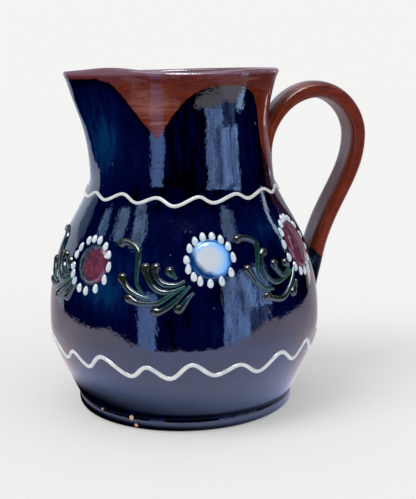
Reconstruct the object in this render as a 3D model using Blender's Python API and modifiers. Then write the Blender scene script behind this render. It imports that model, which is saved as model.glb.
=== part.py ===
"""An earthenware milk jug: a thrown body with a pinched spout, a pulled strap handle
and slip-trailed wavy lines, flowers and sprigs. One fired piece, in metres, +Z up.

The origin is the middle of the flat underside. The handle is towards +X and the spout
towards -X. An azimuth is an angle about +Z from the handle, in degrees.
"""
import math

import bmesh
import bpy
from mathutils import Matrix, Vector
from mathutils.geometry import interpolate_bezier

# Body: radii of the outer side, and the heights they stand at
HEIGHT = 0.1900
RIM_RADIUS = 0.0553
NECK_RADIUS = 0.0493
NECK_HEIGHT = 0.1600
COLLAR_RADIUS = 0.0520
COLLAR_HEIGHT = 0.1320
SHOULDER_RADIUS = 0.0648
SHOULDER_HEIGHT = 0.1040
BELLY_RADIUS = 0.0775
BELLY_HEIGHT = 0.0500
FOOT_RADIUS = 0.0626
FOOT_HEIGHT = 0.0075
FOOT_EDGE = 0.0035
FOOT_GROOVE = 0.0006

# Change of radius for each unit of height where the side isn't upright
RIM_FLARE = 0.30
COLLAR_SLOPE = -0.10
SHOULDER_SLOPE = -0.54
FOOT_FLARE = 0.42

# Wall
WALL = 0.0045
FLOOR = 0.0070
FLOOR_CORNER = 0.0140
LIP_LAND = 0.0008

# How far below the mouth the lip's rounding has run into each side, in its own radii
LIP_RUN_OUTSIDE = 2.5
LIP_RUN_INSIDE = 3.0

# Spout, drawn out of the rim over the last part of the neck
SPOUT_REACH = 0.0098
SPOUT_START = 0.1270
SPOUT_FULL = 0.1820
SPOUT_NOSE = 9.0
PINCH_ANGLE = 33.0
PINCH_SPREAD = 26.0
PINCH_LIFT = 0.0024
PINCH_DEPTH = 0.0250
HANDLE_SIDE_LIFT = 0.0009

# Handle: the middle line of the strap, and its section from the neck to its tail
HANDLE_ROOT_HEIGHT = 0.1370
HANDLE_CROWN_HEIGHT = 0.1774
HANDLE_CROWN_REACH = 0.0800
HANDLE_REACH = 0.1060
HANDLE_BEND_HEIGHT = 0.1500
HANDLE_FOOT_HEIGHT = 0.0800
HANDLE_TAIL_HEIGHT = 0.0420
HANDLE_FOOT_STAND = 0.0058
HANDLE_SINK = 0.0035
STRAP_WIDTH = 0.0210
STRAP_THICKNESS = 0.0112
ROOT_WIDTH = 0.0240
ROOT_THICKNESS = 0.0060
TAIL_WIDTH = 0.0260
TAIL_THICKNESS = 0.0075

# How far each bend of the strap's middle line is held, as shares of its reach
ROOT_RISE = 0.58
ROOT_TUCK = 0.05
CROWN_EASE = 0.52
SHOULDER_EASE = 0.53
BEND_EASE = 0.35
FOOT_EASE = 0.45
TAIL_EASE = 0.35
FOOT_LEAN = 0.22

# Powers under 1 that square off the strap's oval section, across it and through it
STRAP_SIDE_POWER = 0.75
STRAP_FACE_POWER = 0.85

# Slip trailed on the body
SLIP_SINK = 0.0007
UPPER_WAVE_HEIGHT = 0.1238
UPPER_WAVE_SWING = 0.0018
UPPER_WAVE_COUNT = 16
UPPER_WAVE_WIDTH = 0.0024
LOWER_WAVE_HEIGHT = 0.0386
LOWER_WAVE_SWING = 0.0033
LOWER_WAVE_COUNT = 20
LOWER_WAVE_WIDTH = 0.0028
WAVE_RELIEF = 0.0008

FLOWER_HEIGHT = 0.0930
FLOWER_SPACING = 52.0
FLOWER_FIRST = 41.0
FLOWERS_PER_SIDE = 3
DISC_RADIUS = 0.0098
DISC_RELIEF = 0.0010
DISC_FLAT = 0.6
PETAL_COUNT = 14
PETAL_RING = 0.0128
PETAL_LENGTH = 0.0056
PETAL_WIDTH = 0.0038
PETAL_RELIEF = 0.0010
PETAL_FLAT = 0.0
SLIP_SPREAD = 1.1

STROKE_WIDTH = 0.0024
STROKE_TIP_WIDTH = 0.0012
STROKE_RELIEF = 0.0009
BULB_WIDTH = 0.0040
SPRIG_DROP = 0.0110
SPRIG_BACK = 10.0

# How finely the round forms are divided
TURN_STEPS = 44
STRAP_SIDES = 12
STRAP_STEPS = 6
WAVE_STEPS = 6
STROKE_STEPS = 3
DISC_SIDES = 14
PETAL_SIDES = 6
SHARP_ANGLE = 35.0

# Section of a trailed line: across, in half widths, and whether on top
TRAIL_SECTION = ((-1.3, 0), (0.0, 1), (1.3, 0))

# Each sprig stroke in millimetres from the sprig's stem end, along the body and up it:
# its bulb, the bend it passes, and its thin tip
SPRIG_STROKES = (
    ((-39.0, 20.0), (-19.0, 33.0), (-31.0, 0.0), (-17.0, -5.5)),
    ((-22.4, 12.0), (-21.0, -1.0), (-14.0, -5.0), (-1.5, 0.5)),
    ((-15.5, 12.0), (-17.5, 3.0), (-12.0, -0.5), (-1.5, 3.0)),
    ((-10.8, 9.5), (-9.5, 7.5), (-7.5, 6.0), (-5.0, 4.5)),
    ((-35.0, 6.3), (-31.5, -1.5), (-26.0, -5.0), (-15.0, -6.2)),
    ((-30.8, -4.6), (-23.0, -10.5), (-12.0, -9.5), (-2.0, 0.5)),
    ((-18.0, -11.7), (-11.0, -12.5), (-6.0, -8.0), (1.0, 1.0)),
    ((-6.7, -11.5), (-3.0, -10.0), (-0.5, -7.0), (2.8, -2.4)),
)

NAVY = (0.010, 0.014, 0.070, 1.0)
BROWN = (0.130, 0.036, 0.018, 1.0)
CREAM = (0.850, 0.820, 0.740, 1.0)
GREEN = (0.040, 0.070, 0.050, 1.0)


def clear_scene():
    for thing in list(bpy.data.objects):
        bpy.data.objects.remove(thing, do_unlink=True)


def new_collection(name):
    collection = bpy.data.collections.new(name)
    bpy.context.scene.collection.children.link(collection)
    return collection


def glaze(name, colour, roughness):
    material = bpy.data.materials.new(name)
    material.use_nodes = True
    shader = material.node_tree.nodes["Principled BSDF"]
    shader.inputs["Base Color"].default_value = colour
    shader.inputs["Roughness"].default_value = roughness
    shader.inputs["Metallic"].default_value = 0.0
    return material


def mesh_object(name, mesh, collection, material):
    thing = bpy.data.objects.new(name, mesh)
    collection.objects.link(thing)
    mesh.materials.clear()
    mesh.materials.append(material)
    return thing


def smoothstep(low, high, value):
    share = min(max((value - low) / (high - low), 0.0), 1.0)
    return share * share * (3.0 - 2.0 * share)


def outer_side(height):
    """Radius of the thrown body's outer side, and its change with height."""
    stations = (
        (FOOT_HEIGHT, FOOT_RADIUS, FOOT_FLARE),
        (BELLY_HEIGHT, BELLY_RADIUS, 0.0),
        (SHOULDER_HEIGHT, SHOULDER_RADIUS, SHOULDER_SLOPE),
        (COLLAR_HEIGHT, COLLAR_RADIUS, COLLAR_SLOPE),
        (NECK_HEIGHT, NECK_RADIUS, 0.0),
        (HEIGHT, RIM_RADIUS, RIM_FLARE),
    )
    for low, high in zip(stations, stations[1:]):
        if height <= high[0] or high is stations[-1]:
            break
    span = high[0] - low[0]
    t = min(max((height - low[0]) / span, 0.0), 1.0)
    radius = (
        (2 * t**3 - 3 * t**2 + 1) * low[1]
        + (3 * t**2 - 2 * t**3) * high[1]
        + span * ((t**3 - 2 * t**2 + t) * low[2] + (t**3 - t**2) * high[2])
    )
    slope = (
        6 * (t**2 - t) * (low[1] - high[1]) / span
        + (3 * t**2 - 4 * t + 1) * low[2]
        + (3 * t**2 - 2 * t) * high[2]
    )
    return radius, slope


def spread(low, high, count):
    return [low + (high - low) * i / count for i in range(count + 1)]


def outer_profile():
    """The body's outer side from the middle of the mouth down to the underside."""
    middle = RIM_RADIUS - WALL / 2
    round_over = (WALL - LIP_LAND) / 2
    points = [(0.0, HEIGHT), (middle + LIP_LAND / 2, HEIGHT)]
    for angle in (30, 60, 90):
        reach = round_over * math.sin(math.radians(angle))
        drop = round_over * (1 - math.cos(math.radians(angle)))
        points.append((middle + LIP_LAND / 2 + reach, HEIGHT - drop))
    for low, high, count in (
        (HEIGHT - LIP_RUN_OUTSIDE * round_over, NECK_HEIGHT, 3),
        (NECK_HEIGHT, COLLAR_HEIGHT, 2),
        (COLLAR_HEIGHT, SHOULDER_HEIGHT, 3),
        (SHOULDER_HEIGHT, BELLY_HEIGHT, 4),
        (BELLY_HEIGHT, FOOT_HEIGHT + FOOT_GROOVE, 4),
    ):
        points += [(outer_side(z)[0], z) for z in spread(low, high, count)[:-1]]
    points += [
        (FOOT_RADIUS - FOOT_GROOVE, FOOT_HEIGHT + FOOT_GROOVE),
        (FOOT_RADIUS, FOOT_HEIGHT - FOOT_GROOVE),
    ]
    for angle in (0, 45, 90):
        reach = FOOT_EDGE * math.cos(math.radians(angle))
        drop = FOOT_EDGE * math.sin(math.radians(angle))
        points.append((FOOT_RADIUS - FOOT_EDGE + reach, FOOT_EDGE - drop))
    return points + [(0.0, 0.0)]


def inner_profile():
    """The hollow's side from above the mouth down to the middle of the floor."""
    middle = RIM_RADIUS - WALL / 2
    round_over = (WALL - LIP_LAND) / 2
    points = [(0.0, HEIGHT + WALL), (middle - LIP_LAND / 2, HEIGHT + WALL)]
    for angle in (40, 90):
        reach = round_over * math.sin(math.radians(angle))
        drop = round_over * (1 - math.cos(math.radians(angle)))
        points.append((middle - LIP_LAND / 2 - reach, HEIGHT - drop))
    corner_top = FLOOR + FLOOR_CORNER
    for low, high, count in (
        (HEIGHT - LIP_RUN_INSIDE * round_over, NECK_HEIGHT, 2),
        (NECK_HEIGHT, COLLAR_HEIGHT, 1),
        (COLLAR_HEIGHT, SHOULDER_HEIGHT, 1),
        (SHOULDER_HEIGHT, BELLY_HEIGHT, 2),
        (BELLY_HEIGHT, corner_top, 1),
    ):
        for z in spread(low, high, count)[:-1]:
            radius, slope = outer_side(z)
            points.append((radius - WALL * math.hypot(1.0, slope), z))
    radius, slope = outer_side(corner_top)
    edge = radius - WALL * math.hypot(1.0, slope)
    for angle in (0, 45, 90):
        reach = FLOOR_CORNER * (1 - math.cos(math.radians(angle)))
        drop = FLOOR_CORNER * math.sin(math.radians(angle))
        points.append((edge - reach, corner_top - drop))
    return points + [(0.0, FLOOR)]


def turned(name, profile, collection, material):
    """A closed solid turned about Z from a profile that runs down its outer side."""
    mesh = bpy.data.meshes.new(name + "_profile")
    corners = [(radius, 0.0, z) for radius, z in profile]
    mesh.from_pydata(corners, [(i, i + 1) for i in range(len(corners) - 1)], [])
    guide = mesh_object(name + "_profile", mesh, collection, material)
    screw = guide.modifiers.new("Turn", "SCREW")
    screw.axis = "Z"
    screw.steps = TURN_STEPS
    screw.render_steps = TURN_STEPS
    screw.use_merge_vertices = True
    screw.merge_threshold = 0.00002
    bpy.context.view_layer.update()
    evaluated = guide.evaluated_get(bpy.context.evaluated_depsgraph_get())
    solid = bpy.data.meshes.new_from_object(evaluated)
    solid.name = name
    bpy.data.objects.remove(guide, do_unlink=True)
    return mesh_object(name, solid, collection, material)


def spout_shift(azimuth, height):
    """How far the spout carries a point out from the axis, and how far the rim lifts it."""
    turn = abs(azimuth % 360.0 - 180.0)
    radius = outer_side(min(height, HEIGHT))[0]
    reach = SPOUT_REACH * smoothstep(SPOUT_START, SPOUT_FULL, height)
    tangent = math.degrees(math.acos(radius / (radius + reach))) + SPOUT_NOSE
    rounded = math.hypot(turn, SPOUT_NOSE)
    out = radius * (1.0 / math.cos(math.radians(max(tangent - rounded, 0.0))) - 1.0)
    near_rim = smoothstep(HEIGHT - PINCH_DEPTH, HEIGHT, height)
    pinch = math.cos(math.radians(90.0 * min(abs(turn - PINCH_ANGLE) / PINCH_SPREAD, 1.0)))
    over_handle = smoothstep(90.0, 180.0, turn)
    lift = near_rim * (PINCH_LIFT * pinch**2 + HANDLE_SIDE_LIFT * over_handle)
    return out, lift


def draw_spout(thing):
    """Moves the wall, and leaves the middle of the floor and of the mouth where it is."""
    for corner in thing.data.vertices:
        x, y, z = corner.co
        radius = math.hypot(x, y)
        if radius > RIM_RADIUS / 2:
            out, lift = spout_shift(math.degrees(math.atan2(y, x)), z)
            corner.co += Vector((out * x / radius, out * y / radius, lift))


def loft(name, rings, closed, collection, material):
    """A solid through rings of equally many corners, each ring counter-clockwise
    as seen from ahead. A closed one runs back into its first ring."""
    form = bmesh.new()
    rows = [[form.verts.new(corner) for corner in ring] for ring in rings]
    pairs = list(zip(rows, rows[1:] + rows[:1] if closed else rows[1:]))
    for near, far in pairs:
        for i in range(len(near)):
            j = (i + 1) % len(near)
            form.faces.new((near[i], near[j], far[j], far[i]))
    if not closed:
        form.faces.new(list(reversed(rows[0])))
        form.faces.new(rows[-1])
    bmesh.ops.recalc_face_normals(form, faces=form.faces)
    mesh = bpy.data.meshes.new(name)
    form.to_mesh(mesh)
    form.free()
    return mesh_object(name, mesh, collection, material)


def handle_line():
    """The middle line of the strap in the XZ plane, from the neck over to the belly."""
    root = Vector((outer_side(HANDLE_ROOT_HEIGHT)[0] - HANDLE_SINK, 0.0, HANDLE_ROOT_HEIGHT))
    crown = Vector((HANDLE_CROWN_REACH, 0.0, HANDLE_CROWN_HEIGHT))
    bend = Vector((HANDLE_REACH, 0.0, HANDLE_BEND_HEIGHT))
    foot = Vector((outer_side(HANDLE_FOOT_HEIGHT)[0] + HANDLE_FOOT_STAND, 0.0, HANDLE_FOOT_HEIGHT))
    tail = Vector((outer_side(HANDLE_TAIL_HEIGHT)[0] - HANDLE_SINK, 0.0, HANDLE_TAIL_HEIGHT))
    rise = Vector((0.0, 0.0, crown.z - root.z))
    fall = Vector((0.0, 0.0, bend.z - foot.z))
    land = Vector((0.0, 0.0, foot.z - tail.z))
    out = Vector((crown.x - root.x, 0.0, 0.0))
    shoulder = Vector((bend.x - crown.x, 0.0, 0.0))
    drop = Vector((0.0, 0.0, crown.z - bend.z))
    lean = Vector((FOOT_LEAN, 0.0, 1.0))
    arms = (
        (root, root + rise * ROOT_RISE - out * ROOT_TUCK, crown - out * CROWN_EASE, crown),
        (crown, crown + shoulder * SHOULDER_EASE, bend + drop * SHOULDER_EASE, bend),
        (bend, bend - fall * BEND_EASE, foot + lean * fall.z * FOOT_EASE, foot),
        (foot, foot - lean * land.z * TAIL_EASE, tail + land * TAIL_EASE, tail),
    )
    line = []
    for arm in arms:
        line += interpolate_bezier(*arm, STRAP_STEPS + 1)[:-1]
    return line + [tail]


def squared(share, power):
    """A sine or cosine, pushed out towards its end by a power under 1."""
    return math.copysign(abs(share) ** power, share)


def make_handle(collection, material):
    line = handle_line()
    rings = []
    for i, middle in enumerate(line):
        ahead = (line[min(i + 1, len(line) - 1)] - line[max(i - 1, 0)]).normalized()
        across = Vector((0.0, 1.0, 0.0))
        outward = across.cross(ahead)
        near_root = 1.0 - smoothstep(0.0, 1.0, i / STRAP_STEPS)
        near_tail = smoothstep(3.0, 4.0, i / STRAP_STEPS)
        width = STRAP_WIDTH + (ROOT_WIDTH - STRAP_WIDTH) * near_root
        width += (TAIL_WIDTH - STRAP_WIDTH) * near_tail
        thick = STRAP_THICKNESS + (ROOT_THICKNESS - STRAP_THICKNESS) * near_root
        thick += (TAIL_THICKNESS - STRAP_THICKNESS) * near_tail
        ring = []
        for k in range(STRAP_SIDES):
            angle = 2.0 * math.pi * (k + 0.5) / STRAP_SIDES
            side = squared(math.cos(angle), STRAP_SIDE_POWER) * width / 2
            up = squared(math.sin(angle), STRAP_FACE_POWER) * thick / 2
            ring.append(middle + across * side + outward * up)
        rings.append(ring)
    return loft("handle", rings, False, collection, material)


def on_body(azimuth, height):
    """A frame on the outer side: X along the body, Y up it, Z out of it."""
    radius, slope = outer_side(height)
    turn = math.radians(azimuth)
    east = Vector((-math.sin(turn), math.cos(turn), 0.0))
    out = Vector((math.cos(turn), math.sin(turn), -slope)).normalized()
    up = out.cross(east)
    place = Vector((radius * math.cos(turn), radius * math.sin(turn), height))
    return Matrix((
        (east.x, up.x, out.x, place.x),
        (east.y, up.y, out.y, place.y),
        (east.z, up.z, out.z, place.z),
        (0.0, 0.0, 0.0, 1.0),
    ))


def beside(azimuth, height, along, up):
    """The azimuth and height of a point some way along and up the body from another."""
    radius, slope = outer_side(height)
    return azimuth + math.degrees(along / radius), height + up / math.hypot(1.0, slope)


def trail(name, spots, widths, relief, closed, collection, material):
    """A ridge of trailed slip that passes over spots of azimuth and height."""
    frames = [on_body(*spot) for spot in spots]
    count = len(frames)
    rings = []
    for i, frame in enumerate(frames):
        place = frame.translation
        out = frame.col[2].to_3d()
        before = frames[(i - 1) % count] if closed or i else frame
        after = frames[(i + 1) % count] if closed or i < count - 1 else frame
        side = (after.translation - before.translation).cross(out).normalized()
        rings.append([
            place + side * (across * widths[i] / 2) + out * (relief if top else -SLIP_SINK)
            for across, top in TRAIL_SECTION
        ])
    return loft(name, rings, closed, collection, material)


def make_wave(name, height, swing, count, width, collection, material):
    steps = count * WAVE_STEPS
    spots = []
    for i in range(steps):
        share = i / steps
        spots.append((360.0 * share, height + swing * math.cos(2.0 * math.pi * count * share)))
    widths = [width] * steps
    return trail(name, spots, widths, WAVE_RELIEF, True, collection, material)


def drop(form, frame, length, width, relief, sides, flat_top):
    """A low drop of slip, wider where it sinks into the wall, with a flat share on top."""
    height = relief + SLIP_SINK
    shape = Matrix.Diagonal((length / 2, width / 2, height, 1.0))
    raised = Matrix.Translation((0.0, 0.0, (relief - SLIP_SINK) / 2))
    bmesh.ops.create_cone(form, cap_ends=True, segments=sides, radius1=SLIP_SPREAD,
                          radius2=flat_top, depth=1.0, matrix=frame @ raised @ shape)


def make_flower(name, azimuth, collection, material):
    form = bmesh.new()
    drop(form, on_body(azimuth, FLOWER_HEIGHT), 2 * DISC_RADIUS, 2 * DISC_RADIUS, DISC_RELIEF,
         DISC_SIDES, DISC_FLAT)
    for i in range(PETAL_COUNT):
        turn = 2.0 * math.pi * i / PETAL_COUNT
        along = PETAL_RING * math.cos(turn)
        up = PETAL_RING * math.sin(turn)
        frame = on_body(*beside(azimuth, FLOWER_HEIGHT, along, up))
        drop(form, frame @ Matrix.Rotation(turn, 4, "Z"), PETAL_LENGTH, PETAL_WIDTH, PETAL_RELIEF,
             PETAL_SIDES, PETAL_FLAT)
    mesh = bpy.data.meshes.new(name)
    form.to_mesh(mesh)
    form.free()
    return mesh_object(name, mesh, collection, material)


def make_sprig(name, azimuth, collection, material):
    """Strokes that spring from one stem end beside the next flower."""
    strokes = []
    for i, corners in enumerate(SPRIG_STROKES):
        arms = [Vector((x * 0.001, y * 0.001, 0.0)) for x, y in corners]
        line = interpolate_bezier(*arms, STROKE_STEPS + 1)
        spots = [beside(azimuth, FLOWER_HEIGHT - SPRIG_DROP, point.x, point.y) for point in line]
        widths = [BULB_WIDTH] + [STROKE_WIDTH] * (STROKE_STEPS - 1) + [STROKE_TIP_WIDTH]
        strokes.append(trail(f"{name}_{i}", spots, widths, STROKE_RELIEF, False,
                             collection, material))
    return strokes


def fuse(body, others, name, operation):
    """A Boolean of the body with helper shapes gathered into one mesh."""
    with bpy.context.temp_override(active_object=others[0], selected_editable_objects=others):
        if len(others) > 1:
            bpy.ops.object.join()
    helper = others[0]
    helper.name = name
    helper.hide_render = True
    helper.display_type = "WIRE"
    modifier = body.modifiers.new(name, "BOOLEAN")
    modifier.operation = operation
    modifier.solver = "EXACT"
    modifier.use_self = operation == "UNION"
    modifier.object = helper


def build_jug():
    clear_scene()
    jug = new_collection("earthenware_jug")
    helpers = new_collection("jug_forming_shapes")
    navy = glaze("navy_glaze", NAVY, 0.12)
    brown = glaze("brown_glaze", BROWN, 0.18)
    cream = glaze("cream_slip", CREAM, 0.25)
    green = glaze("green_slip", GREEN, 0.20)

    body = turned("jug", outer_profile(), jug, navy)
    draw_spout(body)
    hollow = turned("hollow", inner_profile(), helpers, brown)
    draw_spout(hollow)
    handle = make_handle(helpers, brown)

    slip = [
        make_wave("upper_wave", UPPER_WAVE_HEIGHT, UPPER_WAVE_SWING, UPPER_WAVE_COUNT,
                  UPPER_WAVE_WIDTH, helpers, cream),
        make_wave("lower_wave", LOWER_WAVE_HEIGHT, LOWER_WAVE_SWING, LOWER_WAVE_COUNT,
                  LOWER_WAVE_WIDTH, helpers, cream),
    ]
    azimuths = [FLOWER_FIRST + i * FLOWER_SPACING for i in range(FLOWERS_PER_SIDE)]
    azimuths += [-azimuth for azimuth in reversed(azimuths)]
    for i, azimuth in enumerate(azimuths):
        slip.append(make_flower(f"flower_{i}", azimuth, helpers, cream))

    # No sprig springs from the first flower, because it would cross the handle's roots
    sprigs = []
    for i, azimuth in enumerate(azimuths[1:]):
        sprigs += make_sprig(f"sprig_{i}", azimuth - SPRIG_BACK, helpers, green)

    fuse(body, [handle], "pulled_handle", "UNION")
    fuse(body, slip, "trailed_slip", "UNION")
    fuse(body, sprigs, "trailed_sprigs", "UNION")
    fuse(body, [hollow], "thrown_hollow", "DIFFERENCE")
    body.data.shade_smooth()
    body.data.set_sharp_from_angle(angle=math.radians(SHARP_ANGLE))


build_jug()
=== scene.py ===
"""The looks of the earthenware milk jug: its glazes, the trailed slip and a pale studio.

Everything is in metres in the frame of the solid: the origin is the middle of the flat
underside, the handle is towards +X and the spout towards -X. An azimuth is an angle about
+Z from the handle, in degrees, and the photograph was taken from azimuth -104.
"""
import math

import bmesh
import bpy
import numpy as np
from mathutils import Matrix, Vector, noise
from mathutils.geometry import interpolate_bezier


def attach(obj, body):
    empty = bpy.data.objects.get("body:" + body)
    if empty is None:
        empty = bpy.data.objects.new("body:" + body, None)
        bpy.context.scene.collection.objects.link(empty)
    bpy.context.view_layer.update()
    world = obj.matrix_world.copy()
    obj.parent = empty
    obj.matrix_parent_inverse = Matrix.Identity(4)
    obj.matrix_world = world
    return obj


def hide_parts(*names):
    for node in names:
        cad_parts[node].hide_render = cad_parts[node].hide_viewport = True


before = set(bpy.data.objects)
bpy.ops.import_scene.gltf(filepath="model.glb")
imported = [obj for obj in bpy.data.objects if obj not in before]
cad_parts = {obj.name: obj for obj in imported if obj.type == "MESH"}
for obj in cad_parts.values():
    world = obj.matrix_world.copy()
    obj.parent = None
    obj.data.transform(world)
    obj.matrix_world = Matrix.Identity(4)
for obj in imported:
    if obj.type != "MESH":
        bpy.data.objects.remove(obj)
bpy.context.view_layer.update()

MM = 0.001

# Body: the same stations as the solid's outer side
HEIGHT = 0.1900
RIM_RADIUS = 0.0553
STATIONS = (
    (0.0075, 0.0626, 0.42),
    (0.0500, 0.0775, 0.0),
    (0.1040, 0.0648, -0.54),
    (0.1320, 0.0520, -0.10),
    (0.1600, 0.0493, 0.0),
    (HEIGHT, RIM_RADIUS, 0.30),
)
FOOT_RADIUS = 0.0626
FOOT_HEIGHT = 0.0075
FOOT_EDGE = 0.0035
FOOT_GROOVE_HEIGHT = 0.0080
FOOT_GROOVE_DEPTH = 0.0006
FOOT_GROOVE_WIDTH = 0.0017
WALL = 0.0045
FLOOR = 0.0070
FLOOR_CORNER = 0.0140
LIP_LAND = 0.0008
THROWING_RIPPLE = 0.00012

# Inside, how far within the brown dip and how pale it is
INSIDE_DIP = 0.02
INSIDE_HAZE = 0.4

# Spout
SPOUT_REACH = 0.0098
SPOUT_START = 0.1270
SPOUT_FULL = 0.1820
SPOUT_NOSE = 9.0
PINCH_ANGLE = 33.0
PINCH_SPREAD = 31.0
PINCH_LIFT = 0.0016
FAR_PINCH_SHARE = 0.35
PINCH_DEPTH = 0.0250
HANDLE_SIDE_LIFT = 0.0003
RIM_SAG = 0.0012
RIM_SAG_ANGLE = 84.0
RIM_SAG_SPREAD = 42.0

# Handle
HANDLE_ROOT_HEIGHT = 0.1370
HANDLE_CROWN_HEIGHT = 0.1774
HANDLE_CROWN_REACH = 0.0800
HANDLE_REACH = 0.1060
HANDLE_BEND_HEIGHT = 0.1500
HANDLE_FOOT_HEIGHT = 0.0800
HANDLE_TAIL_HEIGHT = 0.0420
HANDLE_FOOT_STAND = 0.0058
HANDLE_SINK = 0.0035
STRAP_WIDTH = 0.0210
STRAP_THICKNESS = 0.0098
ROOT_WIDTH = 0.0240
ROOT_THICKNESS = 0.0060
TAIL_WIDTH = 0.0260
TAIL_THICKNESS = 0.0075
ROOT_FILLET = 0.0045
FILLET_SPREAD = 0.85
STRAP_PULL = 0.018
STRAP_LINE_PLACE = 0.10
STRAP_LINE_WIDTH = 0.16
STRAP_LINE_DEPTH = 0.035

# How the strap's middle line leaves and enters each of its points, as shares of the way
ROOT_RISE = 0.58
ROOT_TUCK = 0.05
CROWN_EASE = 0.52
SHOULDER_EASE = 0.53
BEND_EASE = 0.35
FOOT_EASE = 0.45
TAIL_EASE = 0.35
FOOT_LEAN = 0.22

# Powers of the strap's section, across and up: 1 is an ellipse, and less is squarer
STRAP_OUTSIDE = (0.75, 0.85)
STRAP_INSIDE = (0.46, 0.46)

# Where the faces' gloss, the painted reflection that makes the outer face paler and the dull top
# set in, up the section in half sizes, and where the dull top ends, in arms of the middle line
INNER_FACE = (0.3, 0.9)
OUTER_FACE = (0.2, 0.7)
PAINTED_REFLECTION_FACE = (0.2, 0.9)
DULL_FACE = (0.15, 0.6)
DULL_END = (0.3, 0.7)

# How pale the handle is: in all, where it was drawn, and along its outer face, where the paleness is a
# painted reflection
HANDLE_HAZE_AND_REFLECTION = (0.1, 0.6, 0.5)

# Divisions
TURN_STEPS = 256
STRAP_SIDES = 72
STRAP_STEPS = 40
STROKE_STEPS = 13
WAVE_STEPS = 8
FOOT_STEPS = 8
LIP_STEPS = 9
CORNER_STEPS = 10
CENTRE_RADIUS = 0.0040
FLAT_ROW = 0.0060
CORNER_ROW = 0.0040
SIDE_ROW = 0.0011
INSIDE_ROW = 0.0022
GROOVE_ROW = 0.0004
GROOVE_ZONE = 0.0060

# Rings and sides of the petals and discs
PETAL_DIVISIONS = (7, 22)
DISC_DIVISIONS = (20, 64)

# How far below the rim the sides' rows end, in radii of the lip's rounding
LIP_START = 2.2
LIP_END = 2.6

# How finely the small unevenness changes, round a piece and along it
BODY_GRAIN = (4.0, 60.0)
STRAP_GRAIN = (6.0, 0.02)
STRAP_HAZE_GRAIN = (14.0, 0.05)
WAVE_GRAIN = (7.0, 90.0)

# Step and start of the unevenness in the petals' size and in their lean
PETAL_NOISES = ((3.7, 0.5), (2.3, 5.5))

# Azimuth of the camera's side of the jug, from which the spots below are measured
PHOTO_AZIMUTH = -104.0

# Waves: azimuth from the photo's middle and height in millimetres of each trough and crest
UPPER_WAVE_SPOTS = (
    (-69.3, 122.1), (-60.2, 125.2), (-48.7, 122.3), (-36.1, 126.3), (-25.8, 122.2),
    (-14.1, 125.1), (-4.2, 120.9), (8.8, 125.3), (17.5, 122.0), (31.5, 125.6),
    (40.1, 122.7), (54.6, 126.1), (64.8, 123.0),
)
LOWER_WAVE_SPOTS = (
    (-68.5, 43.2), (-58.7, 36.5), (-51.5, 42.1), (-43.1, 35.8), (-34.6, 43.5),
    (-22.7, 34.6), (-15.2, 40.6), (-6.1, 34.3), (2.4, 42.3), (11.5, 35.5),
    (21.9, 40.1), (31.0, 34.1), (41.3, 42.1), (50.9, 35.4), (59.7, 43.1),
)

# On the far side, each wave's trough and crest in millimetres and how many there are of
# both, and then its width
WAVES = (
    ("upper_wave", UPPER_WAVE_SPOTS, 122.2, 125.6, 20, 1.8),
    ("lower_wave", LOWER_WAVE_SPOTS, 35.4, 42.2, 24, 2.2),
)
WAVE_RELIEF = 0.85
WAVE_WIDTH_WANDER = 0.16
WAVE_RELIEF_WANDER = 0.12

# A trailed line's section: across in half widths, and up in reliefs
BEAD_SECTION = (
    (-1.18, -0.35), (-1.05, 0.0), (-0.93, 0.36), (-0.72, 0.70), (-0.40, 0.93), (0.0, 1.0),
    (0.40, 0.93), (0.72, 0.70), (0.93, 0.36), (1.05, 0.0), (1.18, -0.35),
)

# Flowers: azimuth from the photo's middle, height in millimetres, the ring of petals'
# middle along and up from the disc's, its radius along and up, the disc's own radius and
# the petals' bearings
FLOWERS = (
    ("left", -42, 90.9, "half_maroon", (-2.6, -0.8), (13.6, 13.9), 9.7,
     (77, 51, 29, 2, -27, -58, -87, -109, -133, -151, -170, 163, 143, 116, 97)),
    ("middle", 11.5, 94.9, "blue", (0, 0.2), (12.3, 12.3), 9.8,
     (79, 55, 31, 2, -36, -68, -95, -119, -137, -160, 178, 149, 127, 104)),
    ("right", 63.2, 95, "maroon", (0, 0.4), (13.2, 15.5), 10.4,
     (84, 62, 38, 12, -14, -40, -66, -88, -110, -134, -160, 172, 146, 124, 103)),
    ("back_right", 145, 93, "blue", (0.4, -0.2), (12.6, 12.6), 9.6,
     (80, 53, 28, 2, -25, -50, -76, -103, -128, -154, 179, 153, 127, 104)),
    ("back_middle", 197, 93, "maroon", (0, 0.3), (12.8, 12.6), 9.9,
     (86, 60, 34, 9, -17, -43, -68, -95, -121, -147, -172, 161, 135, 110)),
    ("back_left", 249, 93, "blue", (-0.3, 0), (12.6, 12.8), 9.7,
     (82, 57, 30, 5, -21, -48, -74, -99, -125, -150, -176, 158, 132, 106)),
)
DISC_RELIEF = 1.3
PETAL_LENGTH = 5.0
PETAL_WIDTH = 3.15
PETAL_RELIEF = 1.05
PETAL_POINT = 0.16
PETAL_LEAN = 14.0
PETAL_WIDTH_WANDER = 0.12
PETAL_LENGTH_WANDER = 0.2

# How far a drop of slip reaches past its edge in its own radii and into the wall in its
# own reliefs, and the power that rounds it
DOLLOP_SKIRT = 1.12
DOLLOP_ROOT = 0.4
DOLLOP_ROUNDING = 0.45

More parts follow.
